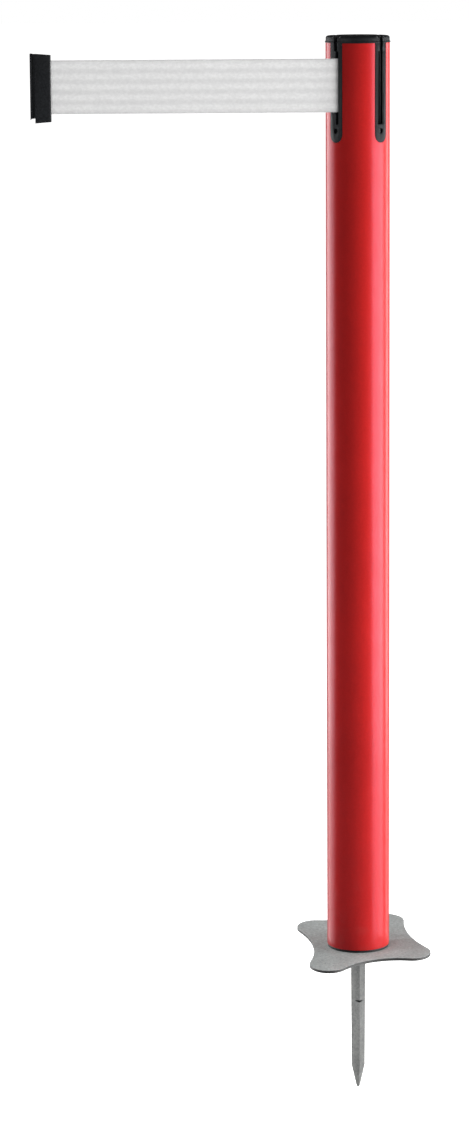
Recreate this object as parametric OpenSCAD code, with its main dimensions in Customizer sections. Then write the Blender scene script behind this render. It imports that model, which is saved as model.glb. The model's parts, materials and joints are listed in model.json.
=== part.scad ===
// Retractable belt barrier post on a ground spike.
// A round steel tube stands on a four-lobed foot plate with a square spike under it.
// The head holds a sprung spool of belt, three belt receivers and one belt outlet.
// Millimetres. Origin: centre of the foot plate's underside, which is ground level.
// +Z is up. The belt is pulled out towards -X and runs 45 degrees off its outlet.

/* [Tube] */
// Outside diameter of the tube
tube_d = 63.5; // [63:0.1:65]
// Wall thickness of the tube
tube_wall = 1.5; // [1.3:0.1:1.6]
// Length of the tube
tube_len = 920; // [600:5:1100]
// Width of each slot in the tube's top end
slot_w = 16; // [15.9:0.1:16.5]
// Depth of each slot below the tube's top edge
slot_len = 97.5; // [97:0.5:100]

/* [Head] */
// Thickness of the head cap that shows above the tube
cap_h = 6.5; // [5.5:0.5:9]
// How far the cap's lower rim stands out of the tube
cap_lip = 0.65; // [0.2:0.05:1.5]
// From the tube's top edge down to the open channel of a receiver
channel_drop = 8; // [7:0.5:10]
// Height of the open channel
channel_h = 71.5; // [70:0.5:72]
// Width of the open channel
channel_w = 9.5; // [8:0.5:10]
// Width of the undercut behind the channel, which holds the belt end's rail
undercut_w = 12; // [11.8:0.1:12.4]
// From the tube's top edge down to the screw of each insert
screw_drop = 86; // [84:0.5:88]

/* [Belt] */
// Width of the belt
belt_w = 52.5; // [48:0.5:53]
// Thickness of the belt
belt_t = 0.6; // [0.5:0.05:0.65]
// From the tube's top edge down to the belt's centre line
belt_drop = 41.3; // [41:0.1:42]
// Length of belt that shows between the post and the belt end
belt_out = 279.5; // [120:0.5:600]
// Length of the whole belt
belt_total = 2300; // [1500:10:2320]

/* [Belt end] */
// Length of the belt end's body along the belt
end_l = 15.5; // [14:0.5:20]
// Thickness of the belt end
end_t = 11.5; // [11:0.1:12.5]
// Height of the belt end above the belt's centre line, at its outer edge
end_rise = 33; // [31:0.5:36]
// Depth of the belt end below the belt's centre line, at its outer edge
end_fall = 35.3; // [32:0.1:38]
// How much the belt end narrows towards the belt, at its top and again at its bottom
end_taper = 1.6; // [0.5:0.1:2.5]
// How far the rail stands out of the body
rail_l = 4.75; // [4.75:0.05:5]
// Step between the bottom of the body and the bottom of the rail
rail_step = 4.6; // [3:0.1:8]

/* [Foot] */
// Thickness of the foot plate
plate_t = 3; // [2.5:0.5:5]
// Directions of the four lobes, before the plate's outline is lengthened
lobe_angle = [65.5, 129, 238.5, 339.5]; // [0:0.5:360]
// Distance of each lobe's tip from the post's axis, before the outline is lengthened
lobe_reach = [96.5, 86.5, 81, 77]; // [70:0.5:115]
// Radius of the lobes
lobe_r = 19.5; // [14:0.5:20]
// Radius of the hollow side after each lobe
side_r = [104, 120, 72, 123]; // [70:1:200]
// How much longer the outline is from front to back than from side to side
plate_stretch = 1.3; // [1:0.05:1.5]
// Thickness of the plastic ring between the tube and the plate
ring_h = 2.5; // [2:0.5:5]

/* [Spike] */
// Width of the square bar at the plate
bar_w = 11; // [9:0.1:11]
// Width of the bar where its point starts
bar_end_w = 9.8; // [8:0.1:10.4]
// Depth of the spike's tip below the plate's underside
spike_len = 150; // [110:1:300]
// Length of the point
point_len = 24; // [12:1:30]
// Turn of the square bar about the post's axis
bar_turn = -35; // [-90:1:90]
// Depth of the notch in the bar's front corner
notch_depth = 56; // [30:1:80]
// How far the notch cuts in from the bar's corner
notch_in = 4.9; // [2:0.1:5]
// Height of the notch at the bar's corner
notch_h = 2.6; // [1:0.1:4]

/* [Hidden] */

$fn = 96;
fit_gap = 0.05;      // clearance between parts that are pressed or screwed together
run_gap = 0.06;      // radial clearance of a bush on the axle
eps = 1;             // how far a cutter runs past the face that it cuts

// heights
plate_top = plate_t;
tube_z0 = plate_top + ring_h;
tube_top = tube_z0 + tube_len;
cap_top = tube_top + cap_h;
slot_z0 = tube_top - slot_len;
channel_top = tube_top - channel_drop;
channel_z0 = channel_top - channel_h;
screw_z = tube_top - screw_drop;
belt_z = tube_top - belt_drop;
belt_z0 = belt_z - belt_w / 2;
belt_z1 = belt_z + belt_w / 2;

// tube and head radii
tube_r = tube_d / 2;
bore_r = tube_r - tube_wall;
head_r = bore_r - 0.15;
cavity_r = 23;
drum_r = 20.2;
drum_top = belt_z0 - 4;
head_z0 = tube_top - 103.5;
floor_t = 3;
floor_z = head_z0 + floor_t;

// belt receivers and the belt outlet, all cut from the same blank
outlet_angle = 225;
receiver_angles = [315, 45, 135];
insert_w = slot_w - 0.4;
insert_x = 24.4;
channel_x = 26;
undercut_x = 29.1;
neck_slot_w = 4.2;
insert_screw_r = 1.25;
insert_head_r = 2.4;
insert_head_t = 1.4;
insert_head_x = tube_r - 2.6;
insert_screw_x0 = 21.6;

// screws of the cap
cap_screw_x = 26.8;
cap_screw_r = 1.5;
cap_head_r = 2.9;
cap_head_t = 2;
cap_screw_l = 15;
boss_r = 6;

// pockets in the cassette's wall, open at its foot
pocket_r0 = 25.2;
pocket_r1 = 28.4;
pocket_drop = 12;

// the two lips that the belt slides out between, and the groove beside them
lip_r = 1.3;
lip_gap = 1.5;
lip_x = 30.2;
lip_y = lip_gap / 2 + lip_r;
far_lip_x = 28.4;
window_gap = 1.1;
groove_y0 = 0.4;
groove_y1 = 3.6;

// where the belt leaves the lip towards -X: the hinge line of the belt's swing
lead_off = [
    lip_x + lip_y * cos(45),
    -lip_y + lip_y * sin(45)
];
swing_x = lead_off[0] * cos(outlet_angle) - lead_off[1] * sin(outlet_angle);
swing_y = lead_off[0] * sin(outlet_angle) + lead_off[1] * cos(outlet_angle);

// spool
axle_r = 3;
bush_r = axle_r + run_gap;
core_r = 8;
flange_r = 22.4;
flange_t = 1.5;
flange_gap = 0.6;
spool_z1 = belt_z1 + flange_gap;
spool_z0 = belt_z0 - flange_gap;
coil_r = sqrt(core_r * core_r + (belt_total - belt_out) * belt_t / PI);
spool_bore_r = 4;
anchor_x = core_r - 1.1;
anchor_r = 1.05;

// centre line of the belt from the wound coil to the outlet's lip, in the outlet's own axes
lead_r = coil_r + 0.1 + belt_t / 2;
lead_x = 25.2;
lead_angle = acos(lead_r / lead_x);
lead_path = concat(
    [lead_r * [cos(lead_angle), -sin(lead_angle)]],
    [[lead_x, 0]],
    arc([lip_x, -lip_y], lip_y, 90, 45, 5)
);

// spring cup under the spool, and the brake under the cup
cup_r = 19.6;
cup_wall = 1.2;
cup_z0 = screw_z + 2.2;
cup_z1 = spool_z0 - flange_t;
cover_t = 1.8;
cover_z0 = cup_z0 - cover_t;
spring_t = 0.5;
spring_step = 1;     // growth of the spring's radius in half a turn
spring_turns = 6;
spring_r0 = 5.8;
arbor_r = 5;
rotor_z0 = floor_z + 1;
rotor_disc_t = 1.5;
rotor_r = 18;
rotor_hub_r = 7;
key_l = 34;
key_w = 5;
key_h = 4;
shoe_r0 = 8;
shoe_r1 = 19.6;
shoe_half_angle = 75;

// belt end, measured along -X from the swing line
end_inner_x = swing_x - belt_out;
end_body_x = end_inner_x - end_l;
end_outer_x = end_body_x - rail_l;
rail_head_t = 2;
rail_head_w = 11.4;
rail_neck_w = 3.2;
rail_tail_l = 6;
shell_t = end_t / 2;
belt_tuck = 1.8;     // how far the belt's visible run reaches into the belt end
pocket_t = 1.4;
pin_r = 1.5;
pin_x = end_inner_x - 5.5;
pin_over = 0.6;      // how far the pin runs past the belt's edges
loop_r = pin_r + fit_gap + belt_t;
end_screw_x = end_inner_x - 7;
end_screw_z = 29.4;
end_screw_r = 1.2;
end_head_r = 2.1;

// foot
ring_r = tube_r - 0.5;
stud_r = 5;
stud_z1 = plate_top + 42;
shoulder_z = plate_top + 5;
web_z0 = shoulder_z + 1;
web_z1 = web_z0 + 10;
plug_z1 = tube_z0 + 40;
plug_core_r = 26;
bead_room_r = 11.5;
washer_t = 1.6;
nut_h = 8;
nut_af = 16;
bead_h = 3;

// ---- shapes used more than once ----

// Upright prism with a round lower end, from x0 to x1 along +X
module slot_prism(x0, x1, w, z0, z1) {
    translate([x0, 0, z0 + w / 2])
        rotate([0, 90, 0])
            cylinder(d = w, h = x1 - x0);
    translate([x0, -w / 2, z0 + w / 2])
        cube([x1 - x0, w, z1 - z0 - w / 2]);
}

// Box centred on y = 0
module slab(x0, x1, w, z0, z1) {
    translate([x0, -w / 2, z0])
        cube([x1 - x0, w, z1 - z0]);
}

module ring(r0, r1, z0, z1) {
    difference() {
        translate([0, 0, z0])
            cylinder(r = r1, h = z1 - z0);
        translate([0, 0, z0 - eps])
            cylinder(r = r0, h = z1 - z0 + 2 * eps);
    }
}

// Upright rod
module rod(r, z0, z1) {
    translate([0, 0, z0])
        cylinder(r = r, h = z1 - z0);
}

// Sector of a ring, half_angle each side of +X
module ring_sector(r0, r1, half_angle, z0, z1) {
    translate([0, 0, z0])
        rotate([0, 0, -half_angle])
            rotate_extrude(angle = 2 * half_angle)
                translate([r0, 0])
                    square([r1 - r0, z1 - z0]);
}

// Cross recess in a screw head whose top is at z = 0, cut downwards
module cross_recess(size, depth) {
    for (a = [0, 90])
        rotate([0, 0, a])
            translate([-size / 2, -size / 8, -depth])
                cube([size, size / 4, depth + eps]);
}

// Points of an arc about c, from angle a0 to a1
function arc(c, r, a0, a1, n) = [
    for (i = [0:n])
        let (a = a0 + (a1 - a0) * i / n)
            c + r * [cos(a), sin(a)]
];

// Sideways offset of point i of a path
function path_normal(p, i) =
    let (
        a = p[max(i - 1, 0)],
        b = p[min(i + 1, len(p) - 1)],
        u = norm(p[i] - a) > 0 ? (p[i] - a) / norm(p[i] - a) : (b - p[i]) / norm(b - p[i]),
        v = norm(b - p[i]) > 0 ? (b - p[i]) / norm(b - p[i]) : u,
        m = [-(u + v)[1], (u + v)[0]] / norm(u + v)
    ) m / max(m * [-u[1], u[0]], 0.5);

// Outline of a ribbon of thickness t along a path
function ribbon(p, t) = concat(
    [for (i = [0:len(p) - 1]) p[i] + path_normal(p, i) * t / 2],
    [for (i = [len(p) - 1:-1:0]) p[i] - path_normal(p, i) * t / 2]
);

// ---- tube and head ----

module post_tube() {
    color("crimson")
        difference() {
            ring(bore_r, tube_r, tube_z0, tube_top);
            for (a = concat([outlet_angle], receiver_angles))
                rotate([0, 0, a])
                    slot_prism(bore_r - 5, tube_r + eps, slot_w, slot_z0, tube_top + eps);
        }
}

// Outer blank of a receiver or the outlet, along +X
module insert_blank() {
    intersection() {
        slot_prism(insert_x, tube_r + 5, insert_w, slot_z0 + 0.2, tube_top - fit_gap);
        rod(tube_r, slot_z0 - eps, tube_top + eps);
    }
}

// Rail slot at the top of an insert, going on through the cap
module rail_entry(z0, z1) {
    slab(channel_x, undercut_x, undercut_w, z0, z1);
    slab(undercut_x - 0.5, tube_r + 5, neck_slot_w, z0, z1);
}

// Counterbored screw hole through an insert's lower end
module insert_screw_hole() {
    translate([0, 0, screw_z])
        rotate([0, 90, 0]) {
            cylinder(r = insert_screw_r + 0.15, h = tube_r + eps);
            translate([0, 0, insert_head_x - insert_head_t])
                cylinder(r = insert_head_r + 0.3, h = 6);
        }
}

// One belt receiver: an upright C rail that takes the T rail of another post's belt end
module receiver(angle) {
    rotate([0, 0, angle])
        difference() {
            insert_blank();
            slab(undercut_x - 0.5, tube_r + 5, channel_w, channel_z0, channel_top);
            slab(channel_x, undercut_x, undercut_w, channel_z0, channel_top + 0.5);
            rail_entry(channel_top, tube_top + eps);
            insert_screw_hole();
        }
}

module receiver_front() {
    color("#26282b")
        receiver(receiver_angles[0]);
}

module receiver_right() {
    color("#26282b")
        receiver(receiver_angles[1]);
}

module receiver_back() {
    color("#26282b")
        receiver(receiver_angles[2]);
}

// One lip of the outlet, with a round nose at x
module outlet_lip(side, x) {
    z0 = belt_z0 - window_gap - 0.5;
    h = belt_w + 2 * window_gap + 1;
    translate([channel_x - 0.5, side * lip_y - lip_r, z0])
        cube([x - channel_x + 0.5, 2 * lip_r, h]);
    translate([x, side * lip_y, z0])
        cylinder(r = lip_r, h = h);
}

// The belt comes out through a slit at the back of a window, between the two lips
module belt_outlet() {
    window_z0 = belt_z0 - window_gap;
    window_z1 = belt_z1 + window_gap;
    color("#26282b")
        rotate([0, 0, outlet_angle])
            difference() {
                union() {
                    difference() {
                        insert_blank();
                        translate([channel_x, -channel_w / 2, window_z0])
                            cube([10, channel_w / 2 + groove_y1, window_z1 - window_z0]);
                        translate([channel_x, groove_y0, channel_z0])
                            cube([10, groove_y1 - groove_y0, channel_top - channel_z0]);
                        rail_entry(channel_top, tube_top + eps);
                        insert_screw_hole();
                    }
                    outlet_lip(-1, lip_x);
                    outlet_lip(1, far_lip_x);
                }
                slab(insert_x - eps, tube_r + 5, lip_gap, window_z0, window_z1);
                translate([insert_x - eps, -4.5, belt_z0 - 1])
                    cube([channel_x - insert_x + eps - 0.2, 4.5, belt_w + 2]);
            }
}

module insert_screws() {
    for (a = concat([outlet_angle], receiver_angles))
        color("#3a3c3e")
            rotate([0, 0, a])
                translate([0, 0, screw_z])
                    rotate([0, 90, 0])
                        difference() {
                            union() {
                                rod(insert_screw_r, insert_screw_x0, insert_head_x - 1);
                                rod(insert_head_r, insert_head_x - insert_head_t + fit_gap, insert_head_x);
                            }
                            translate([0, 0, insert_head_x])
                                cross_recess(2.8, 0.8);
                        }
}

// Cassette body: a cup for the spool, with a bed for each insert
module head_body() {
    bed_x = insert_x - 0.1;
    pocket_z1 = tube_top - pocket_drop;
    color("#2b2d30")
        difference() {
            rod(head_r, head_z0, tube_top);
            rod(cavity_r, drum_top, tube_top + eps);
            rod(drum_r, floor_z, drum_top + eps);
            rod(axle_r + fit_gap, head_z0 - eps, floor_z + eps);
            for (a = concat([outlet_angle], receiver_angles))
                rotate([0, 0, a]) {
                    slot_prism(bed_x, tube_r + 5, slot_w - 0.2, slot_z0 + 0.1, tube_top + eps);
                    translate([insert_screw_x0 - 0.2, 0, screw_z])
                        rotate([0, 90, 0])
                            cylinder(r = insert_screw_r + fit_gap, h = 5);
                }
            rotate([0, 0, outlet_angle])
                translate([drum_r, -6.5, belt_z0 - 1.5])
                    cube([6, 9, belt_w + 3]);
            for (a = [90, 270])
                rotate([0, 0, a])
                    ring_sector(pocket_r0, pocket_r1, 20, head_z0 - eps, pocket_z1);
            for (a = [0, 180])
                rotate([0, 0, a]) {
                    for (s = [-1, 1])
                        rotate([0, 0, s * 13.5])
                            ring_sector(pocket_r0, pocket_r1, 6.5, head_z0 - eps, pocket_z1);
                    translate([cap_screw_x, 0, 0])
                        rod(cap_screw_r + fit_gap, tube_top - cap_screw_l - 1, tube_top + eps);
                }
        }
}

module head_cap() {
    rim_r = tube_r - 0.1;
    edge = 2.2;
    outline = concat(
        [[0, tube_top], [tube_r + cap_lip, tube_top], [tube_r + cap_lip, tube_top + 1],
         [rim_r, tube_top + 1.5]],
        arc([rim_r - edge, cap_top - edge], edge, 0, 90, 6),
        [[0, cap_top]]
    );
    boss_z0 = spool_z1 + flange_t + 1.8;
    color("#26282b")
        difference() {
            union() {
                rotate_extrude()
                    polygon(outline);
                ring(cavity_r - 1.7, cavity_r - 0.1, tube_top - 3, tube_top + 0.5);
                rod(boss_r, boss_z0, tube_top + 0.5);
            }
            rod(axle_r + fit_gap, boss_z0 - eps, tube_top + 1.5);
            for (a = concat([outlet_angle], receiver_angles))
                rotate([0, 0, a])
                    rail_entry(tube_top - eps, cap_top + eps);
            for (a = [0, 180])
                rotate([0, 0, a])
                    translate([cap_screw_x, 0, 0]) {
                        rod(cap_screw_r + 0.2, tube_top - eps, cap_top);
                        rod(cap_head_r + 0.15, cap_top - cap_head_t - 0.2, cap_top + eps);
                    }
        }
}

module cap_screws() {
    head_z1 = cap_top - 0.15;
    for (a = [0, 180])
        color("#8f9499")
            rotate([0, 0, a])
                translate([cap_screw_x, 0, 0])
                    difference() {
                        union() {
                            rod(cap_screw_r, tube_top - cap_screw_l, head_z1 - 1);
                            rod(cap_head_r, head_z1 - cap_head_t, head_z1);
                        }
                        translate([0, 0, head_z1])
                            cross_recess(3.4, 1.1);
                    }
}

// ---- fixed inner parts of the head ----

module spool_axle() {
    color("silver")
        union() {
            rod(axle_r, head_z0 - 1, tube_top + 1);
            rod(5, head_z0 - 2.5, head_z0);
        }
}

module spring_arbor() {
    color("silver")
        difference() {
            ring(axle_r + fit_gap, arbor_r, cup_z0 + 0.6, cup_z1 - 1);
            translate([3.4, -0.5, cup_z0])
                cube([2, 1, cup_z1 - cup_z0]);
        }
}

module belt_lead() {
    color("white")
        rotate([0, 0, outlet_angle])
            translate([0, 0, belt_z0])
                linear_extrude(belt_w)
                    polygon(ribbon(lead_path, belt_t));
}

// ---- turning parts of the head ----

module spool() {
    color("#d8d4c8")
        difference() {
            union() {
                rod(core_r, cup_z1, spool_z1 + flange_t);
                rod(flange_r, spool_z1, spool_z1 + flange_t);
                rod(flange_r, cup_z1, spool_z0);
                ring(cup_r - cup_wall, cup_r, cup_z0, cup_z1 + 0.5);
            }
            rod(spool_bore_r, cup_z1 - eps, spool_z1 + flange_t + eps);
            rotate([0, 0, 90])
                translate([anchor_x, 0, 0])
                    rod(anchor_r + 0.3, spool_z0 + 0.5, spool_z1 - 0.5);
        }
}

module spool_bushes() {
    flange_z = spool_z1 + flange_t;
    color("ivory") {
        ring(bush_r, spool_bore_r - fit_gap, flange_z - 12, flange_z);
        ring(bush_r, 5.5, flange_z + fit_gap, flange_z + 1);
        ring(bush_r, spool_bore_r - fit_gap, cup_z1 - 0.8, cup_z1 + 11);
    }
}

module belt_anchor_pin() {
    color("silver")
        rotate([0, 0, 90])
            translate([anchor_x, 0, 0])
                rod(anchor_r, spool_z0 + 0.6, spool_z1 - 0.6);
}

module belt_coil() {
    color("whitesmoke")
        ring(core_r + 0.05, coil_r, belt_z0, belt_z1);
}

module spring_cover() {
    color("#d8d4c8")
        difference() {
            rod(cup_r, cover_z0, cup_z0);
            rod(axle_r + 0.3, cover_z0 - eps, cup_z0 + eps);
        }
}

// Half a turn of the spring about [cx, 0]
module spring_half(cx, r, a0, z0, z1) {
    translate([cx, 0, z0])
        rotate([0, 0, a0])
            rotate_extrude(angle = 180)
                translate([r - spring_t / 2, 0])
                    square([spring_t, z1 - z0]);
}

module recoil_spring() {
    z0 = cup_z0 + 1.2;
    z1 = cup_z1 - 1.8;
    last_r = spring_r0 + (2 * spring_turns - 1) * spring_step;
    color("slategray")
        union() {
            for (k = [0:2 * spring_turns - 1])
                spring_half(
                    k % 2 == 0 ? 0 : spring_step,
                    spring_r0 + k * spring_step,
                    k % 2 == 0 ? 0 : 180,
                    z0, z1
                );
            translate([arbor_r + fit_gap, -spring_t, z0])
                cube([spring_r0 - arbor_r, spring_t, z1 - z0]);
        }
}

module brake_rotor() {
    hub_z1 = cover_z0;
    disc_z1 = rotor_z0 + rotor_disc_t;
    color("#7c8084")
        difference() {
            union() {
                rod(rotor_r, rotor_z0, disc_z1);
                rod(rotor_hub_r, rotor_z0, hub_z1);
                slab(-key_l / 2, key_l / 2, key_w, disc_z1 - 0.5, disc_z1 + key_h);
            }
            rod(axle_r + 0.3, rotor_z0 - eps, hub_z1 + eps);
        }
}

// Brake shoe on the +X side of the rotor: it flies out against the cassette's wall
module brake_shoe() {
    z0 = rotor_z0 + rotor_disc_t + 0.15;
    z1 = cover_z0 - 0.4;
    difference() {
        ring_sector(shoe_r0, shoe_r1, shoe_half_angle, z0, z1);
        slab(0, drum_r, key_w + 0.2, z0 - eps, rotor_z0 + rotor_disc_t + key_h + 0.15);
    }
}

module brake_shoe_a() {
    color("#4a3b30")
        brake_shoe();
}

module brake_shoe_b() {
    color("#4a3b30")
        rotate([0, 0, 180])
            brake_shoe();
}

// ---- belt outside the post, and the belt end ----

module belt_strip() {
    color("white")
        translate([end_inner_x - belt_tuck, swing_y - belt_t / 2, belt_z0])
            cube([belt_out + belt_tuck - 0.1, belt_t, belt_w]);
}

// Height of the belt end's top and bottom edges at x
function end_top(x) = belt_z + end_rise - end_taper * (x - end_outer_x) / (end_l + rail_l);
function end_bottom(x) = belt_z - end_fall + end_taper * (x - end_outer_x) / (end_l + rail_l);

// Side outline of a stretch of the belt end between x0 and x1, cut off above its bottom
module end_outline(x0, x1, lift0, lift1) {
    polygon([
        [x0, end_bottom(x0) + lift0], [x1, end_bottom(x1) + lift1],
        [x1, end_top(x1)], [x0, end_top(x0)]
    ]);
}

// Extrusion of an XZ outline from y0 to y1
module upright(y0, y1) {
    translate([0, y1, 0])
        rotate([90, 0, 0])
            linear_extrude(y1 - y0)
                children();
}

// Half of the belt end's casing; side is -1 for the front and 1 for the back
module end_shell(side) {
    y0 = swing_y + (side < 0 ? -shell_t : 0);
    edge = 1.2;
    difference() {
        upright(y0, y0 + shell_t)
            end_outline(end_body_x, end_inner_x, 0, 0);
        // slanted outer corner along the belt side
        translate([end_inner_x, swing_y + side * shell_t, belt_z])
            rotate([0, 0, 45])
                cube([edge, edge, 100], center = true);
        // belt pocket, pin pocket, rail pocket
        translate([pin_x, swing_y - pocket_t / 2, belt_z0 - 0.4])
            cube([10, pocket_t, belt_w + 0.8]);
        translate([pin_x, swing_y, belt_z0 - pin_over - 0.1])
            cylinder(r = loop_r + 0.3, h = belt_w + 2 * pin_over + 0.2);
        upright(swing_y - rail_neck_w / 2 - 0.1, swing_y + rail_neck_w / 2 + 0.1)
            end_outline(end_body_x - eps, end_body_x + rail_tail_l + 0.2, rail_step - 0.4, rail_step - 0.4);
        for (s = [-1, 1])
            translate([end_screw_x, swing_y, belt_z - 1 + s * end_screw_z])
                rotate([90, 0, 0]) {
                    translate([0, 0, -shell_t - eps])
                        cylinder(r = end_screw_r + 0.1, h = shell_t + 4.5);
                    translate([0, 0, -shell_t - eps])
                        cylinder(r = end_head_r + 0.2, h = 2.6);
                }
    }
}

module end_shell_front() {
    color("#26282b")
        end_shell(-1);
}

module end_shell_back() {
    color("#26282b")
        end_shell(1);
}

// T rail that slides into a receiver of the next post
module end_rail() {
    neck_x = end_outer_x + rail_head_t;
    color("#26282b")
        union() {
            upright(swing_y - rail_head_w / 2, swing_y + rail_head_w / 2)
                end_outline(end_outer_x, neck_x, rail_step - 1, rail_step + 0.5);
            upright(swing_y - rail_neck_w / 2, swing_y + rail_neck_w / 2)
                end_outline(neck_x - 0.5, end_body_x + rail_tail_l, rail_step, rail_step);
        }
}

module end_pin() {
    color("silver")
        translate([pin_x, swing_y, 0])
            rod(pin_r, belt_z0 - pin_over, belt_z1 + pin_over);
}

module belt_loop() {
    color("white")
        translate([pin_x, swing_y, 0])
            ring(pin_r + fit_gap, loop_r, belt_z0, belt_z1);
}

module end_screws() {
    for (s = [-1, 1])
        color("#8f9499")
            translate([end_screw_x, swing_y, belt_z - 1 + s * end_screw_z])
                rotate([90, 0, 0])
                    difference() {
                        union() {
                            rod(end_screw_r, -shell_t + 1, 3.2);
                            rod(end_head_r, -shell_t + 0.2, -shell_t + 1.5);
                        }
                        translate([0, 0, -shell_t + 0.2])
                            mirror([0, 0, 1])
                                cross_recess(2.4, 0.7);
                    }
}

// ---- foot ----

// Centre of the circle of radius r outside two lobes, centred at p and q, that touches both
function side_centre(p, q, r) =
    let (
        half = norm(q - p) / 2,
        u = (q - p) / norm(q - p),
        out = [u[1], -u[0]]
    ) (p + q) / 2 + out * sqrt(pow(r + lobe_r, 2) - half * half);

function direction(v) = atan2(v[1], v[0]);

// b turned by whole turns to lie within a turn above a
function after(a, b) = b < a ? b + 360 : b;

lobes = [for (i = [0:3]) (lobe_reach[i] - lobe_r) * [cos(lobe_angle[i]), sin(lobe_angle[i])]];
sides = [for (i = [0:3]) side_centre(lobes[i], lobes[(i + 1) % 4], side_r[i])];

function lobe_arc(i) =
    let (
        a0 = direction(sides[(i + 3) % 4] - lobes[i]),
        a1 = after(a0, direction(sides[i] - lobes[i]))
    ) arc(lobes[i], lobe_r, a0, a1, 16);

function side_arc(i) =
    let (
        a1 = direction(lobes[(i + 1) % 4] - sides[i]),
        a0 = after(a1, direction(lobes[i] - sides[i])),
        points = arc(sides[i], side_r[i], a0, a1, 14)
    ) [for (k = [1:len(points) - 2]) points[k]];

plate_outline = [for (i = [0:3]) each concat(lobe_arc(i), side_arc(i))];

module foot_plate() {
    color("#9a9b98")
        difference() {
            linear_extrude(plate_t)
                polygon([for (p = plate_outline) [p[0], plate_stretch * p[1]]]);
            rotate([0, 0, bar_turn])
                slab(-bar_w / 2 - fit_gap, bar_w / 2 + fit_gap, bar_w + 2 * fit_gap, -eps, plate_t + eps);
        }
}

// Side view of the square bar, seen on its flats
module bar_profile() {
    tip = 1.3;
    point_z = point_len - spike_len;
    polygon([
        [-bar_w / 2, shoulder_z], [-bar_w / 2, -1], [-bar_end_w / 2, point_z],
        [-tip, 2 - spike_len], [-tip / 2, 0.4 - spike_len], [0, -spike_len],
        [tip / 2, 0.4 - spike_len], [tip, 2 - spike_len],
        [bar_end_w / 2, point_z], [bar_w / 2, -1], [bar_w / 2, shoulder_z]
    ]);
}

module ground_spike() {
    corner = bar_w / sqrt(2) + eps;
    color("#8d8f8e")
        rotate([0, 0, bar_turn])
            difference() {
                union() {
                    intersection() {
                        rotate([90, 0, 0])
                            linear_extrude(bar_w + 2, center = true)
                                bar_profile();
                        rotate([90, 0, 90])
                            linear_extrude(bar_w + 2, center = true)
                                bar_profile();
                    }
                    rod(stud_r, shoulder_z - 1, stud_z1);
                }
                rotate([0, 0, -45])
                    translate([0, bar_w, -notch_depth])
                        rotate([90, 0, 0])
                            linear_extrude(2 * bar_w)
                                polygon([
                                    [corner, -notch_h / 2],
                                    [corner, notch_h / 2],
                                    [corner - 0.65 * notch_in, 0.36 * notch_h],
                                    [corner - eps - notch_in, 0],
                                    [corner - 0.65 * notch_in, -0.36 * notch_h]
                                ]);
            }
}

module weld_bead() {
    color("#6f706e")
        difference() {
            translate([0, 0, plate_top])
                cylinder(r1 = 10.5, r2 = 8.6, h = bead_h);
            rotate([0, 0, bar_turn])
                slab(-bar_w / 2 - fit_gap, bar_w / 2 + fit_gap, bar_w + 2 * fit_gap, 0, plate_top + 10);
        }
}

module foot_plug() {
    plug_r = bore_r - fit_gap;
    color("#1f2022")
        rotate_extrude()
            polygon([
                [bead_room_r, plate_top], [ring_r, plate_top], [ring_r, tube_z0], [plug_r, tube_z0],
                [plug_r, plug_z1 - 2], [plug_r - 1.5, plug_z1],
                [plug_core_r, plug_z1], [plug_core_r, web_z1],
                [stud_r + 0.15, web_z1], [stud_r + 0.15, web_z0], [bead_room_r, web_z0]
            ]);
}

module foot_washer() {
    color("silver")
        ring(stud_r + 0.15, 10.5, web_z1, web_z1 + washer_t);
}

module foot_nut() {
    color("silver")
        difference() {
            translate([0, 0, web_z1 + washer_t])
                cylinder(d = nut_af / cos(30), h = nut_h, $fn = 6);
            rod(stud_r + fit_gap, web_z1, web_z1 + washer_t + nut_h + eps);
        }
}

post_tube();
head_body();
head_cap();
cap_screws();
receiver_front();
receiver_right();
receiver_back();
belt_outlet();
insert_screws();
spool_axle();
spring_arbor();
belt_lead();
spool();
spool_bushes();
belt_anchor_pin();
belt_coil();
spring_cover();
recoil_spring();
brake_rotor();
brake_shoe_a();
brake_shoe_b();
belt_strip();
end_shell_front();
end_shell_back();
end_rail();
end_pin();
belt_loop();
end_screws();
foot_plug();
foot_plate();
weld_bead();
ground_spike();
foot_washer();
foot_nut();
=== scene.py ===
import json
import math

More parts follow.
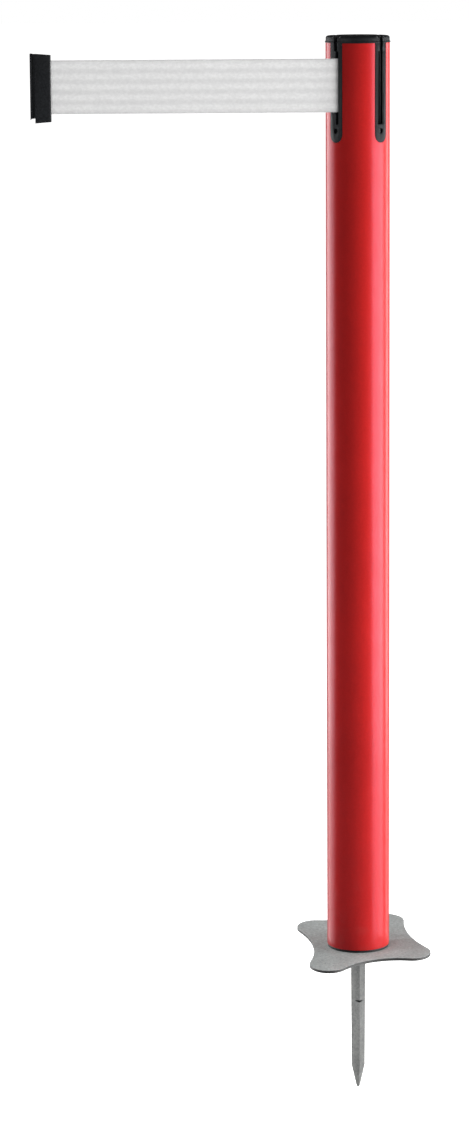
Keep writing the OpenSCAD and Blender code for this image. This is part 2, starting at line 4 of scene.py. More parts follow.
import bmesh
import bpy
from mathutils import Matrix, Vector, noise
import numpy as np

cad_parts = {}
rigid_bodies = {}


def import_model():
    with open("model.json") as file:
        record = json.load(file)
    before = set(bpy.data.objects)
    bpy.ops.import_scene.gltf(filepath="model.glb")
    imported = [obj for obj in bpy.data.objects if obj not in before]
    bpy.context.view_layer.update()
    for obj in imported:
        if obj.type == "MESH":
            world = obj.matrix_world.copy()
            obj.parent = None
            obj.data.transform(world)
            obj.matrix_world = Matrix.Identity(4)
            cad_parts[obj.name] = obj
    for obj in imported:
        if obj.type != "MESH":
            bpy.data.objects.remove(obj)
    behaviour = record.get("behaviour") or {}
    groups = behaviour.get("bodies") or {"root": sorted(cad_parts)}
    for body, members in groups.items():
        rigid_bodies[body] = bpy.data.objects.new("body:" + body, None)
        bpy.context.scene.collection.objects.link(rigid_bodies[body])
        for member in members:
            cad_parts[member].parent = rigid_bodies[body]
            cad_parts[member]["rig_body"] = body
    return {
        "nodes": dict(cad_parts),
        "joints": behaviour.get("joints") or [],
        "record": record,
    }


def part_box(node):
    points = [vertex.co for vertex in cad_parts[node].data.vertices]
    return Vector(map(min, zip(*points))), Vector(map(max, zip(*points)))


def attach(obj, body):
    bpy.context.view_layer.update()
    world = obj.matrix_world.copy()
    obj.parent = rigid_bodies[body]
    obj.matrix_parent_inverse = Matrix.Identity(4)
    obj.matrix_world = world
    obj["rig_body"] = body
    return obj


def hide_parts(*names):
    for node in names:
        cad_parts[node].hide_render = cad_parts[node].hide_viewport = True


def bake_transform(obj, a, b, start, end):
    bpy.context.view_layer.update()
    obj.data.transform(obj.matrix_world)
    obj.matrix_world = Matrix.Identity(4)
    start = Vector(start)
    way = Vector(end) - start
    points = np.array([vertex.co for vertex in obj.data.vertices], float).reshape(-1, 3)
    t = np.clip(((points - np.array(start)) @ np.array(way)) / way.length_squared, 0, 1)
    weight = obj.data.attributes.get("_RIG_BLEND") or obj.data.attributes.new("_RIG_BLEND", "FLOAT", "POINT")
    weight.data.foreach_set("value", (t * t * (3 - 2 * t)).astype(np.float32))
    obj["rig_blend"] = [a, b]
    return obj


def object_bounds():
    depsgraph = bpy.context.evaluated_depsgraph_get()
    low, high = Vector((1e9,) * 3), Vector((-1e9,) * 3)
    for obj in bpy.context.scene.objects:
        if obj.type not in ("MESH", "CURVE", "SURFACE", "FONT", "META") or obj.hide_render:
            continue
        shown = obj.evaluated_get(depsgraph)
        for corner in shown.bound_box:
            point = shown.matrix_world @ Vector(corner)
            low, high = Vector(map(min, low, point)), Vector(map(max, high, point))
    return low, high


MM = 0.001

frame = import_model()
cad_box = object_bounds()

# ---------------------------------------------------------------- shader helpers


class Shader:
    """A material whose nodes are added one call at a time."""

    def __init__(self, name):
        self.material = bpy.data.materials.new(name)
        self.material.use_nodes = True
        self.tree = self.material.node_tree
        self.tree.nodes.clear()
        self.output = self.tree.nodes.new("ShaderNodeOutputMaterial")
        self.coords = self.tree.nodes.new("ShaderNodeTexCoord").outputs["Object"]

    def add(self, kind, inputs=None, **settings):
        """A node of that kind. An input takes a value, or another node's output socket."""
        node = self.tree.nodes.new("ShaderNode" + kind)
        for key, value in settings.items():
            setattr(node, key, value)
        for key, value in (inputs or {}).items():
            if isinstance(value, bpy.types.NodeSocket):
                self.tree.links.new(value, node.inputs[key])
            else:
                node.inputs[key].default_value = value
        return node

    def stretched(self, scale):
        """Object coordinates, in metres, stretched by a factor along each axis."""
        return self.add("Mapping", {"Vector": self.coords, "Scale": scale}).outputs[0]

    def noise(self, scale, detail=3.0, vector=None, roughness=0.55):
        """Fractal noise from 0 to 1 whose grains are about 1/scale metres."""
        inputs = {
            "Vector": vector or self.coords,
            "Scale": scale,
            "Detail": detail,
            "Roughness": roughness,
        }
        return self.add("TexNoise", inputs).outputs["Fac"]

    def fit(self, value, low, high, to_low=0.0, to_high=1.0):
        """value from the range low..high to the range to_low..to_high, held at its ends."""
        inputs = {
            "Value": value,
            "From Min": low,
            "From Max": high,
            "To Min": to_low,
            "To Max": to_high,
        }
        return self.add("MapRange", inputs).outputs["Result"]

    def math(self, operation, a, b=0.0):
        return self.add("Math", {0: a, 1: b}, operation=operation).outputs[0]

    def mix(self, factor, a, b):
        """Colour a at factor 0 and colour b at factor 1."""
        node = self.add("Mix", data_type="RGBA")
        for socket, value in ((0, factor), (6, a), (7, b)):
            if isinstance(value, bpy.types.NodeSocket):
                self.tree.links.new(value, node.inputs[socket])
            else:
                node.inputs[socket].default_value = value
        return node.outputs[2]

    def bump(self, height, depth, normal=None):
        """A bump whose full height is depth metres."""
        inputs = {"Height": height, "Strength": 1.0, "Distance": depth}
        if normal is not None:
            inputs["Normal"] = normal
        return self.add("Bump", inputs).outputs["Normal"]

    def split(self, vector):
        return self.add("SeparateXYZ", {"Vector": vector}).outputs

    def finish(self, **inputs):
        named = {}
        for key, value in inputs.items():
            named[key.replace("_", " ").title().replace("Ior", "IOR")] = value
        surface = self.add("BsdfPrincipled", named)
        self.tree.links.new(surface.outputs[0], self.output.inputs["Surface"])
        return self.material


def rgba(colour, factor=1.0):
    return tuple(c * factor for c in colour) + (1.0,)


# ---------------------------------------------------------------- materials

SCUFF_TOP = 0.12  # the paint is scuffed from the ground up to here, in metres

def paint(name, colour):
    """Gloss powder coat: orange peel, slight tone drift, and duller scuffs near the ground."""
    s = Shader(name)
    drift = s.fit(s.noise(7, 4), 0.35, 0.65)
    tone = s.mix(drift, rgba(colour, 0.93), rgba(colour, 1.07))
    mottle = s.fit(s.noise(520, 3), 0.3, 0.7)
    tone = s.mix(mottle, s.mix(0.08, tone, rgba((0, 0, 0))), tone)
    low_down = s.fit(s.split(s.coords)[2], 0.0, SCUFF_TOP, 1.0, 0.0)
    rubbed = s.math("MULTIPLY", s.fit(s.noise(60, 6), 0.5, 0.75), low_down)
    body = s.mix(s.math("MULTIPLY", rubbed, 0.12), tone, rgba((0.3, 0.12, 0.1)))
    rough = s.fit(s.noise(60, 2), 0.3, 0.7, 0.28, 0.34)
    rough = s.math("ADD", rough, s.math("MULTIPLY", rubbed, 0.12))
    return s.finish(
        base_color=body,
        roughness=rough,
        normal=s.bump(s.noise(420, 2), 0.03 * MM),
        specular_ior_level=0.195,
        specular_tint=(1.0, 0.64, 0.98, 1.0),
        coat_weight=0.045,
        coat_roughness=0.12,
        coat_normal=s.bump(s.noise(300, 1), 0.02 * MM),
    )


def plastic(name, colour, rough=0.42, grain=1500, grain_depth=0.03 * MM, rub_tone=1.5):
    """Moulded plastic: fine grain, uneven gloss, and rubbed patches rub_tone times as pale."""
    s = Shader(name)
    rubbed = s.fit(s.noise(90, 6), 0.52, 0.72)
    tone = s.mix(s.fit(s.noise(25, 3), 0.3, 0.7), rgba(colour, 0.85), rgba(colour, 1.15))
    tone = s.mix(s.math("MULTIPLY", rubbed, 0.5), tone, rgba(colour, rub_tone))
    gloss = s.fit(s.noise(140, 4), 0.3, 0.7, rough - 0.06, rough + 0.08)
    texture = s.add("TexVoronoi", {"Vector": s.coords, "Scale": grain}).outputs["Distance"]
    return s.finish(base_color=tone, roughness=gloss, normal=s.bump(texture, grain_depth))


CHANNEL_HALF = 4.75 * MM  # half the width of a receiver's channel
CHANNEL_MOUTH = 30.9 * MM  # how far from the post's axis the painted light on the channel walls reaches


def head_moulding(name, colour, wall_light_colour, shine):
    """Black moulding with painted light on the side walls of its rail channels: they are coloured pale in
    patches, where light falls into the channels.
    """
    s = Shader(name)
    x, y, _ = s.split(s.coords)
    speck = s.fit(s.noise(700, 3), 0.35, 0.7, 0.75, 1.45)
    drift = s.fit(s.noise(25, 3), 0.3, 0.7, 0.9, 1.1)
    level = s.math("MULTIPLY", speck, drift)
    tone = s.mix(s.fit(level, 0.6, 1.6), rgba(colour, 0.6), rgba(colour, 1.6))
    # across: how far to the side of its insert's middle line; out: how far from the post's axis
    side_x, side_y = s.math("ABSOLUTE", x), s.math("ABSOLUTE", y)
    across = s.math("MULTIPLY", s.math("SUBTRACT", side_x, side_y), math.sqrt(0.5))
    out = s.math("MULTIPLY", s.math("ADD", side_x, side_y), math.sqrt(0.5))
    # painted light: the channels' side walls, out to their mouths, are coloured pale in patches, standing in
    # for the light that falls on them
    off_wall = s.math("SUBTRACT", s.math("ABSOLUTE", across), CHANNEL_HALF)
    on_wall = s.fit(s.math("ABSOLUTE", off_wall), 0.4 * MM, 0.2 * MM)
    inside = s.math("MULTIPLY", on_wall, s.fit(out, CHANNEL_MOUTH + 0.3 * MM, CHANNEL_MOUTH))
    wall_light_patches = s.fit(s.noise(260, 5, s.stretched((1, 1, 0.2))), 0.25, 0.6, 0.75, 1.0)
    wall_light = s.math("MULTIPLY", inside, wall_light_patches)
    tone = s.mix(wall_light, tone, rgba(wall_light_colour))
    gloss = s.fit(s.noise(140, 4), 0.3, 0.7, 0.4, 0.55)
    texture = s.add("TexVoronoi", {"Vector": s.coords, "Scale": 1500}).outputs["Distance"]
    return s.finish(
        base_color=tone,
        roughness=gloss,
        normal=s.bump(texture, 0.03 * MM),
        specular_ior_level=shine,
    )


def metal(name, colour, rough, streak, streak_scale):
    """Bare or plated metal: streaks or mottling, and dull patches."""
    s = Shader(name)
    lines = s.noise(streak_scale, 5, s.stretched(streak))
    mottle = s.fit(s.noise(45, 5), 0.3, 0.7)
    tone = s.mix(mottle, rgba(colour, 0.82), rgba(colour, 1.12))
    tone = s.mix(s.fit(lines, 0.3, 0.7, 0.0, 0.5), tone, rgba(colour, 0.7))
    gloss = s.fit(s.noise(120, 5), 0.3, 0.7, rough - 0.08, rough + 0.12)
    return s.finish(
        base_color=tone,
        metallic=0.9,
        roughness=gloss,
        normal=s.bump(lines, 0.03 * MM),
    )


BAR_HALF = 5.5 * MM  # half the spike bar's width at the plate
BAR_TAPER = 0.89  # its width where the point starts, as a share of that
BAR_TURN = -35  # degrees that the bar is turned about the post's axis
POINT_LENGTH = 24 * MM
NOTCH_Z = -56 * MM
NOTCH_SHADE_REACH = 6 * MM  # the notch's painted shade reaches this far above and below it


def galvanised(name, colour, edge=None, notch=False):
    """Hot-dipped steel: grey grain, dark specks, dull patches, darker cut edges when edge is given, and
    painted shade in the notch when notch is set.
    """
    s = Shader(name)
    grain = s.fit(s.noise(330, 4, roughness=0.75), 0.36, 0.64)
    cloud = s.fit(s.noise(38, 4), 0.3, 0.7)
    tone = s.mix(cloud, rgba(colour, 0.88), rgba(colour, 1.08))
    tone = s.mix(grain, s.mix(0.38, tone, rgba((0, 0, 0))), tone)
    tone = s.mix(s.fit(s.noise(600, 2), 0.6, 0.7, 0.0, 0.6), tone, rgba(colour, 0.3))
    if edge:
        up = s.split(s.add("NewGeometry").outputs["Normal"])[2]
        flat = s.fit(s.math("ABSOLUTE", up), 0.3, 0.8)
        tone = s.mix(flat, rgba(edge), tone)
    if notch:
        # painted shade: what lies inside the bar's own outline, at the notch's height, is the notch's floor,
        # coloured near black for the shade in the cut
        angle = math.radians(-BAR_TURN)
        turned = s.add("VectorRotate", {"Vector": s.coords, "Angle": angle}, rotation_type="Z_AXIS")
        x, y, z = s.split(turned.outputs[0])
        taper_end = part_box("ground_spike")[0].z + POINT_LENGTH
        half = s.fit(z, taper_end, 0.0, BAR_TAPER * BAR_HALF, BAR_HALF)
        across = s.math("MAXIMUM", s.math("ABSOLUTE", x), s.math("ABSOLUTE", y))
        depth = s.fit(s.math("SUBTRACT", half, across), 0.2 * MM, 0.5 * MM)
        off = s.math("ABSOLUTE", s.math("SUBTRACT", z, NOTCH_Z))
        near = s.fit(off, NOTCH_SHADE_REACH + 2 * MM, NOTCH_SHADE_REACH)
        tone = s.mix(s.math("MULTIPLY", depth, near), tone, rgba((0.01, 0.01, 0.01)))
    return s.finish(
        base_color=tone,
        metallic=0.12,
        roughness=s.fit(s.noise(120, 5), 0.3, 0.7, 0.5, 0.68),
        normal=s.bump(s.noise(600, 4), 0.05 * MM),
        specular_ior_level=0.35,
    )


BELT_BAND = 10.1 * MM  # from one woven rib of the belt to the next
BELT_THREAD = 1.05 * MM  # from one weft thread to the next


def webbing(name, colour, centre_z, half_width):
    """Woven polyester: warp and weft threads, wide ribs along the belt, darker selvedges."""
    s = Shader(name)
    x, y, z = s.split(s.coords)
    along = s.math("ADD", x, y)
    turn = 2 * math.pi
    warp = s.math("SINE", s.math("MULTIPLY", z, turn / (BELT_THREAD * 0.8)))
    weft = s.math("SINE", s.math("MULTIPLY", along, turn / BELT_THREAD))
    threads = s.fit(s.math("MULTIPLY", warp, weft), -1.0, 1.0)
    offset = s.math("MULTIPLY", s.math("SUBTRACT", z, centre_z), turn / BELT_BAND)
    band = s.fit(s.math("COSINE", offset), -0.9, 0.7, 0.3, 0.0)
    fuzz = s.noise(900, 4)
    tone = s.mix(band, rgba(colour), rgba(colour, 0.55))
    tone = s.mix(s.fit(threads, 0.2, 0.8, 0.0, 0.14), tone, rgba(colour, 0.6))
    tone = s.mix(s.fit(fuzz, 0.35, 0.7, 0.0, 0.12), tone, rgba(colour, 0.7))
    slub = s.noise(430, 2, s.stretched((0.7, 0.7, 1.0)))
    tone = s.mix(s.fit(slub, 0.32, 0.62, 0.0, 0.28), tone, rgba(colour, 0.62))
    off = s.math("ABSOLUTE", s.math("SUBTRACT", z, centre_z))
    selvedge = s.fit(off, half_width - 1.4 * MM, half_width - 0.4 * MM, 0.0, 0.4)
    tone = s.mix(selvedge, tone, rgba(colour, 0.5))
    normal = s.bump(fuzz, 0.06 * MM, s.bump(threads, 0.12 * MM))
    return s.finish(
        base_color=tone,
        roughness=s.fit(fuzz, 0.3, 0.7, 0.68, 0.85),
        normal=normal,
        sheen_weight=0.25,
        sheen_roughness=0.5,
    )


belt_low, belt_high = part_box("belt_strip")
belt_centre_z = (belt_low.z + belt_high.z) / 2
BELT_T = belt_high.y - belt_low.y
BELT_W = belt_high.z - belt_low.z

PAINT_RED = (0.56, 0.018, 0.0155)
HEAD_BLACK = (0.0122, 0.0132, 0.0147)
MATERIALS = {
    "tube_paint": paint("tube_paint", PAINT_RED),
    # head_plastic's pale grey is the painted light on the receivers' channel walls
    "head_plastic": head_moulding("head_plastic", HEAD_BLACK, (0.3, 0.31, 0.31), 0.07),
    "cassette_plastic": plastic("cassette_plastic", (0.03, 0.032, 0.034), 0.5, 900),
    "foot_plastic": plastic("foot_plastic", (0.012, 0.012, 0.013), 0.5),
    "spool_plastic": plastic("spool_plastic", (0.62, 0.6, 0.53), 0.4, 700, 0.02 * MM, 1.1),
    "brake_lining": plastic("brake_lining", (0.09, 0.06, 0.045), 0.8, 400, 0.12 * MM, 1.4),
    "belt_fabric": webbing("belt_fabric", (0.85, 0.85, 0.85), belt_centre_z, BELT_W / 2),
    "foot_steel": galvanised("foot_steel", (0.415, 0.445, 0.44), edge=(0.045, 0.045, 0.045)),
    "spike_steel": galvanised("spike_steel", (0.155, 0.158, 0.155), notch=True),
    "weld_steel": metal("weld_steel", (0.2, 0.19, 0.18), 0.55, (1, 1, 1), 300),
    "bright_steel": metal("bright_steel", (0.58, 0.59, 0.6), 0.26, (1, 1, 8), 300),
    "dark_screws": metal("dark_screws", (0.07, 0.07, 0.075), 0.4, (1, 1, 1), 600),
    "spring_steel": metal("spring_steel", (0.2, 0.24, 0.32), 0.3, (1, 1, 10), 200),
}

# ---------------------------------------------------------------- mesh helpers


def make_object(name, mesh, body, slot):
    """Adds a piece in a slot's finish. It rides on body, or is blended later if body is None."""
    piece = bpy.data.objects.new(name, mesh)
    bpy.context.scene.collection.objects.link(piece)
    mesh.materials.clear()
    mesh.materials.append(MATERIALS[slot])
    if body:
        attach(piece, body)
    return piece


def mesh_from(name, bm):
    bmesh.ops.recalc_face_normals(bm, faces=bm.faces)
    mesh = bpy.data.meshes.new(name)
    bm.to_mesh(mesh)
    bm.free()
    return mesh


def round_edges(piece, width, segments=2, angle=30):
    """Smooth shading with rounded edges where faces meet at more than angle degrees."""
    for face in piece.data.polygons:
        face.use_smooth = True
    bevel = piece.modifiers.new("edges", "BEVEL")
    bevel.width = width
    bevel.segments = segments
    bevel.limit_method = "ANGLE"
    bevel.angle_limit = math.radians(angle)
    bevel.harden_normals = True
    return piece


def rounded_copy(node, slot, width, segments=2, angle=30):
    """A moulded or machined piece in the place of a CAD node: its faces with rounded edges."""
    body = frame["nodes"][node]["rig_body"]
    bm = bmesh.new()
    bm.from_mesh(frame["nodes"][node].data)
    bmesh.ops.remove_doubles(bm, verts=bm.verts, dist=0.002 * MM)
    bmesh.ops.dissolve_limit(
        bm, angle_limit=math.radians(0.3), verts=bm.verts, edges=bm.edges
    )
    piece = make_object(node + "_piece", mesh_from(node, bm), body, slot)
    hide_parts(node)
    return round_edges(piece, width, segments, angle)


# ---------------------------------------------------------------- tube

SLOT_WIDTH = 16.0 * MM
SLOT_ANGLES = [45, 135, 225, 315]
SLOT_GAP = 0.2 * MM  # between a slot's round end and the insert in it
TUBE_WALL = 1.5 * MM
WALL_ROWS = [0.35, 0.6]  # heights at which the plain wall is divided


def tube_wall():
    """The tube as one rolled sheet with four round-ended slots, then thickened and edge-rounded."""
    low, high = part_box("post_tube")
    radius = high.x
    plug_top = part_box("foot_plug")[1].z
    half = math.asin(SLOT_WIDTH / 2 / radius)
    round_r = SLOT_WIDTH / 2
    slot_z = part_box("belt_outlet")[0].z - SLOT_GAP
    slot_steps, plain_steps = 16, 34
    columns = []  # (angle, height of the row that runs under the slots, whether a slot is next)
    for centre in SLOT_ANGLES:
        mid = math.radians(centre)
        for i in range(slot_steps):
            across = -math.cos(math.pi * i / slot_steps)
            angle = mid + math.asin(math.sin(half) * across)
            drop = math.sqrt(max(0.0, 1 - across * across)) * round_r
            columns.append((angle, slot_z + round_r - drop, True))
        span = math.pi / 2 - 2 * half
        for i in range(plain_steps):
            columns.append((mid + half + span * i / plain_steps, slot_z + round_r, False))
    rows = [low.z, plug_top, *WALL_ROWS, slot_z - 12 * MM]
    bm = bmesh.new()
    grid = []
    for angle, slot_row, _ in columns:
        heights = rows + [slot_row, high.z]
        grid.append([
            bm.verts.new((radius * math.cos(angle), radius * math.sin(angle), z)) for z in heights
        ])
    count = len(columns)
    for i in range(count):
        a, b = grid[i], grid[(i + 1) % count]
        last = len(rows) if columns[i][2] else len(rows) + 1
        for k in range(last):
            bm.faces.new((a[k], b[k], b[k + 1], a[k + 1]))
    loose = [v for v in bm.verts if not v.link_faces]
    bmesh.ops.delete(bm, geom=loose, context="VERTS")
    for face in bm.faces:
        face.normal_update()
    mesh = bpy.data.meshes.new("post_tube")
    bm.to_mesh(mesh)
    bm.free()
    piece = make_object("post_tube_piece", mesh, "post", "tube_paint")
    shell = piece.modifiers.new("wall", "SOLIDIFY")
    shell.thickness = TUBE_WALL
    shell.offset = -1
    shell.use_even_offset = True
    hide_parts("post_tube")
    return round_edges(piece, 0.25 * MM, 2, 40)


# ---------------------------------------------------------------- belt


RIB_DEPTH = 0.16  # how much thinner the belt is between its ribs


def belt_section(width, thickness, ribbed=True):
    """(height from the belt's centre line, half thickness) across the belt, edge to edge."""
    half = width / 2
    edge = [(0.0, 0.12), (0.12 * MM, 0.6), (0.35 * MM, 0.92)]  # (in from the edge, thickness)
    section = [(-half + d, share) for d, share in edge]
    steps = 44 if ribbed else 4
    for i in range(1, steps):
        z = -half + 0.5 * MM + (width - MM) * i / steps
        dip = 0.5 - 0.5 * math.cos(2 * math.pi * z / BELT_BAND) if ribbed else 0
        section.append((z, 1.0 - RIB_DEPTH * dip))
    section += [(half - d, share) for d, share in reversed(edge)]
    return [(z, share * thickness / 2) for z, share in section]


def ribbon(name, path, section, wave=0.0):
    """A strip of belt on edge, at the belt's height, along a path of (x, y) points."""
    bm = bmesh.new()
    rings = []
    count = len(path)
    for i in range(count):
        ahead = path[min(i + 1, count - 1)]
        behind = path[max(i - 1, 0)]
        run = (ahead - behind).normalized()
        side = Vector((-run.y, run.x))
        front, back = [], []
        fade = wave * math.sin(math.pi * i / (count - 1))
        for z, half in section:
            sway = fade * noise.noise(Vector((path[i].x * 25, path[i].y * 25, z * 30)))
            for verts, offset in ((front, half + sway), (back, sway - half)):
                place = path[i] + side * offset
                verts.append(bm.verts.new((place.x, place.y, belt_centre_z + z)))
        rings.append(front + back[::-1])
    size = len(rings[0])
    for a, b in zip(rings, rings[1:]):
        for k in range(size):
            bm.faces.new((a[k], a[(k + 1) % size], b[(k + 1) % size], b[k]))
    for end in (rings[0], rings[-1]):
        ring = [bm.verts.new(v.co) for v in end]
        for k in range(size // 2 - 1):
            bm.faces.new((ring[k], ring[k + 1], ring[size - 2 - k], ring[size - 1 - k]))
    mesh = mesh_from(name, bm)
    for face in mesh.polygons:
        face.use_smooth = True
    return mesh


swing = Vector(next(j for j in frame["joints"] if j["name"] == "belt_swing")["pos_m"])
OVERLAP = 3.0 * MM  # how far the belt's bend runs on past the swing line
CORE_R = 8.05 * MM  # radius of the core that the belt is wound on
LIP_TURN = 2.05 * MM  # radius of the belt's bend round the outlet's near lip
MOUTH_R = 25.2 * MM  # how far from the post's axis the belt comes between the outlet's lips


def arc_points(centre, radius, start, end, steps):
    """Points on an arc about centre, from angle start to angle end in degrees, both included."""
    points = []
    for i in range(steps + 1):
        a = math.radians(start + (end - start) * i / steps)
        points.append(centre + radius * Vector((math.cos(a), math.sin(a))))
    return points


def belt_lead():
    """The belt from the wound coil, out between the outlet's lips and round the near lip."""
    out = math.radians(225)
    axis = Vector((math.cos(out), math.sin(out)))
    across = Vector((-axis.y, axis.x))
    start = Vector((swing.x, swing.y))
    lip = start + Vector((0, LIP_TURN))
    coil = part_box("belt_coil")[1].x + 0.4 * MM
    tangent = math.acos(coil / MOUTH_R)
    touch = coil * (axis * math.cos(tangent) - across * math.sin(tangent))
    corner = axis * MOUTH_R
    path = [touch.lerp(corner, i / 6) for i in range(6)]
    bend = arc_points(lip, LIP_TURN, -45, -90, 8)
    path += [corner.lerp(bend[0], i / 6) for i in range(6)]
    path += bend
    path += [start - Vector((OVERLAP * i / 8, 0)) for i in range(1, 9)]
    section = belt_section(BELT_W, BELT_T)
    piece = make_object("belt_bend", ribbon("belt_bend", path, section), None, "belt_fabric")
    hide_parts("belt_lead")
    near = swing + Vector((0.6 * MM, 0, 0))
    far = swing - Vector((OVERLAP, 0, 0))
    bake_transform(piece, "post", "belt_run", start=near, end=far)
    return piece


def belt_strip():
    """The pulled-out belt. It stretches between the swing line and the belt end."""
    first = swing.x - OVERLAP
    last = belt_low.x
    steps = 240
    path = [Vector((first + (last - first) * i / steps, swing.y)) for i in range(steps + 1)]
    section = belt_section(BELT_W, BELT_T)
    mesh = ribbon("belt_strip", path, section, wave=0.16 * MM)
    piece = make_object("belt_strip_piece", mesh, None, "belt_fabric")
    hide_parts("belt_strip")
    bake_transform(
        piece, "belt_run", "belt_end",
        start=(first, swing.y, belt_centre_z), end=(last, swing.y, belt_centre_z),
    )
    # every stretch of the belt pays out and winds in by the same share
    weights = [(v.co.x - first) / (last - first) for v in mesh.vertices]
    mesh.attributes["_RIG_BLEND"].data.foreach_set("value", [min(max(w, 0), 1) for w in weights])
    return piece


def belt_coil():
    """The wound belt, turn on turn round the spool's core."""
    low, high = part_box("belt_coil")
    outer = high.x - BELT_T / 2
    inner = CORE_R + BELT_T / 2
    pitch = BELT_T * 1.03
    per_turn = 36
    steps = int((outer - inner) / pitch * per_turn)
    path = []
    for i in range(steps + 1):
        radius = inner + pitch * i / per_turn
        angle = 2 * math.pi * i / per_turn
        path.append(Vector((radius * math.cos(angle), radius * math.sin(angle))))
    section = belt_section(BELT_W, BELT_T * 0.97, ribbed=False)
    mesh = ribbon("belt_coil", path, section)
    piece = make_object("belt_coil_piece", mesh, "spool", "belt_fabric")
    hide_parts("belt_coil")
    return piece


def belt_loop():
    """The belt's end, folded round the steel pin inside the belt end and sewn back on itself."""
    low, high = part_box("belt_loop")
    centre = Vector(((low.x + high.x) / 2, (low.y + high.y) / 2))
    radius = (high.x - low.x) / 2 - BELT_T / 2
    gap = BELT_T * 0.55
    opening = math.degrees(math.asin(gap / radius))
    tail = Vector((high.x + 1.2 * MM, centre.y))
    path = [tail + Vector((0, gap))]
    path += arc_points(centre, radius, opening + 8, 352 - opening, 40)
    path.append(tail - Vector((0, gap)))
    section = belt_section(BELT_W, BELT_T, ribbed=False)
    mesh = ribbon("belt_loop", path, section)
    piece = make_object("belt_loop_piece", mesh, "belt_end", "belt_fabric")
    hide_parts("belt_loop")
    return piece


# ---------------------------------------------------------------- build

tube_wall()
belt_lead()
belt_strip()
belt_coil()
belt_loop()

# node: (slot, edge radius in mm, segments)
ROUNDED = {
    "head_cap": ("head_plastic", 0.35, 3),
    "receiver_front": ("head_plastic", 0.3, 2),
    "receiver_right": ("head_plastic", 0.3, 2),
    "receiver_back": ("head_plastic", 0.3, 2),
    "belt_outlet": ("head_plastic", 0.3, 2),
    "end_shell_front": ("head_plastic", 0.6, 3),
    "end_shell_back": ("head_plastic", 0.6, 3),
    "end_rail": ("head_plastic", 0.4, 3),
    "foot_plate": ("foot_steel", 0.35, 2),
    "ground_spike": ("spike_steel", 0.45, 3),
    "foot_plug": ("foot_plastic", 0.3, 2),
    "cap_screws": ("bright_steel", 0.15, 2),
    "insert_screws": ("dark_screws", 0.15, 2),
    "end_screws": ("bright_steel", 0.12, 2),
}
for node, (slot, width, segments) in ROUNDED.items():
    rounded_copy(node, slot, width * MM, segments)

# the other CAD nodes keep their own meshes and take their slot's finish
slots = {part["node"]: part["material_slot"] for part in frame["record"]["subparts"]}
for node, obj in frame["nodes"].items():
    obj.data.materials.clear()
    obj.data.materials.append(MATERIALS[slots[node]])

# ---------------------------------------------------------------- stage, light and camera


def by_ray(tree, fill, mirrored, seen):
    """A strength that differs between what the surface lights, is mirrored in and looks like."""
    path = tree.nodes.new("ShaderNodeLightPath")
    level = fill
    for ray, value in (("Is Glossy Ray", mirrored), ("Is Camera Ray", seen)):
        pick = tree.nodes.new("ShaderNodeMix")
        tree.links.new(path.outputs[ray], pick.inputs[0])
        if isinstance(value, bpy.types.NodeSocket):
            tree.links.new(value, pick.inputs[3])
        else:
            pick.inputs[3].default_value = value
        if level is fill:
            pick.inputs[2].default_value = fill
        else:
            tree.links.new(level, pick.inputs[2])
        level = pick.outputs[0]
    return level


# name: (azimuth, distance, width, height, power); azimuth 0 is the camera's side, 90 the right
SOFTBOXES = {
    "key_right": (77, 1.5, 1.5, 2.2, 64),
    "rim_right": (130, 1.6, 0.5, 2.2, 10),
    "rim_left": (-122, 1.6, 1.5, 2.2, 31),
}


def painted_reflection_strips(s):
    """Painted reflections in the floor for the tube's foot to mirror: each softbox's glow, carried in to the
    post as glowing strips that only glossy rays see.
    """
    x, y, _ = s.split(s.coords)
    reach = s.math("SQRT", s.math("ADD", s.math("MULTIPLY", x, x), s.math("MULTIPLY", y, y)))
    total = 0.05
    for azimuth, distance, width, height, power in SOFTBOXES.values():
        a = math.radians(azimuth)
        toward = s.math("MULTIPLY", x, math.sin(a))
        toward = s.math("ADD", toward, s.math("MULTIPLY", y, -math.cos(a)))
        facing = s.math("DIVIDE", toward, reach)
        half = math.atan(width / 2 / distance)
        lit = s.fit(facing, math.cos(half + 0.01), math.cos(half - 0.07))
        level = power / (math.pi * width * height)
        total = s.math("ADD", s.math("MULTIPLY", lit, level), total)
    return total


def stage_floor():
    """A plain pale floor just under the spike's tip."""
    bm = bmesh.new()
    bmesh.ops.create_grid(bm, x_segments=8, y_segments=8, size=30.0)
    mesh = bpy.data.meshes.new("floor")
    bm.to_mesh(mesh)
    bm.free()
    floor = bpy.data.objects.new("floor", mesh)
    floor.location.z = cad_box[0].z - 1 * MM
    bpy.context.scene.collection.objects.link(floor)
    s = Shader("floor")
    tone = s.mix(s.noise(3, 2), rgba((0.86, 0.86, 0.86)), rgba((0.88, 0.88, 0.88)))
    # to glossy rays the floor's own colour is black and it shows only the painted reflection strips; to
    # other rays it glows faintly, as a fill on the post
    tone = s.mix(s.add("LightPath").outputs["Is Glossy Ray"], tone, rgba((0, 0, 0)))
    mesh.materials.append(
        s.finish(
            base_color=tone,
            roughness=0.9,
            emission_color=rgba((1, 1, 1)),
            emission_strength=by_ray(s.tree, 0.1, painted_reflection_strips(s), 1.0),
        )
    )


def softbox(name, azimuth, distance, width, height, power, centre_z=0.45, lit=None, raised=0.0):
    """An area light that faces the post's axis at centre_z, from raised above that height.

    If lit is given, it lights only those pieces."""
    light = bpy.data.lights.new(name, "AREA")
    light.shape = "RECTANGLE"
    light.size = width
    light.size_y = height
    light.energy = power
    lamp = bpy.data.objects.new(name, light)
    a = math.radians(azimuth)
    lamp.location = (distance * math.sin(a), -distance * math.cos(a), centre_z + raised)
    aim = Vector((0, 0, centre_z)) - lamp.location
    lamp.rotation_euler = aim.to_track_quat("-Z", "Y").to_euler()
    bpy.context.scene.collection.objects.link(lamp)
    if lit:
        group = bpy.data.collections.new(name + "_lit")
        for piece in lit:
            group.objects.link(bpy.data.objects[piece])
        lamp.light_linking.receiver_collection = group
    return lamp


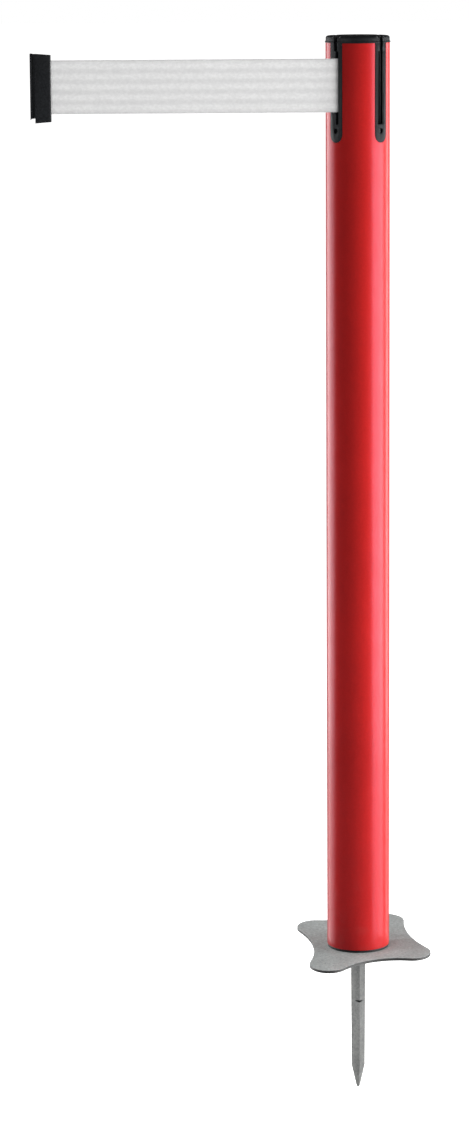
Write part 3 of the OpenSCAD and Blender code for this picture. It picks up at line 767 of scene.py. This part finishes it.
def studio_world():
    """Even surroundings: white to the camera, dim in everything that they light or reflect."""
    world = bpy.data.worlds.new("studio")
    world.use_nodes = True
    tree = world.node_tree
    back = tree.nodes["Background"]
    back.inputs["Color"].default_value = rgba((1, 1, 1))
    tree.links.new(by_ray(tree, 0.17, 0.04, 1.0), back.inputs["Strength"])
    bpy.context.scene.world = world


CAMERA_PLACE = (-0.1249, -3.7, 1.08)
CAMERA_TILT = 10.35  # degrees down from level
CAMERA_ROLL = -0.38


def add_camera():
    """In front of the post, a little above its top and looking down at its middle."""
    camera = bpy.data.cameras.new("camera")
    camera.sensor_width = 36
    camera.lens = 118.94
    camera.clip_end = 100
    obj = bpy.data.objects.new("camera", camera)
    obj.location = CAMERA_PLACE
    tilt = math.radians(CAMERA_TILT)
    facing = Vector((0, math.cos(tilt), -math.sin(tilt))).to_track_quat("-Z", "Y")
    roll = Matrix.Rotation(math.radians(CAMERA_ROLL), 4, "Z").to_quaternion()
    obj.rotation_mode = "QUATERNION"
    obj.rotation_quaternion = facing @ roll
    bpy.context.scene.collection.objects.link(obj)
    bpy.context.scene.camera = obj


stage_floor()
studio_world()
for name, numbers in SOFTBOXES.items():
    softbox(name, *numbers)
BELT_PIECES = ["belt_strip_piece", "belt_bend"]
BELT_PIECES += [node + "_piece" for node in ("end_shell_front", "end_shell_back", "end_rail")]
INSERT_NODES = ("receiver_front", "receiver_right", "receiver_back", "belt_outlet", "head_cap")
INSERT_PIECES = [node + "_piece" for node in INSERT_NODES]
SPIKE_PIECES = ["ground_spike_piece"]
FOOT_PIECES = ["foot_plate_piece"] + SPIKE_PIECES
softbox("belt_fill", -12, 2.0, 1.2, 0.8, 25, belt_centre_z, BELT_PIECES, raised=1.2)
softbox("insert_fill", -50, 2.0, 0.8, 0.8, 20, belt_centre_z, INSERT_PIECES)
softbox("spike_fill", -80, 1.4, 0.8, 0.8, 26, 0.0, SPIKE_PIECES)
softbox("foot_fill", -70, 1.4, 0.8, 0.8, 17, 0.0, FOOT_PIECES, raised=0.9)
add_camera()
bpy.context.scene.view_settings.view_transform = "Standard"
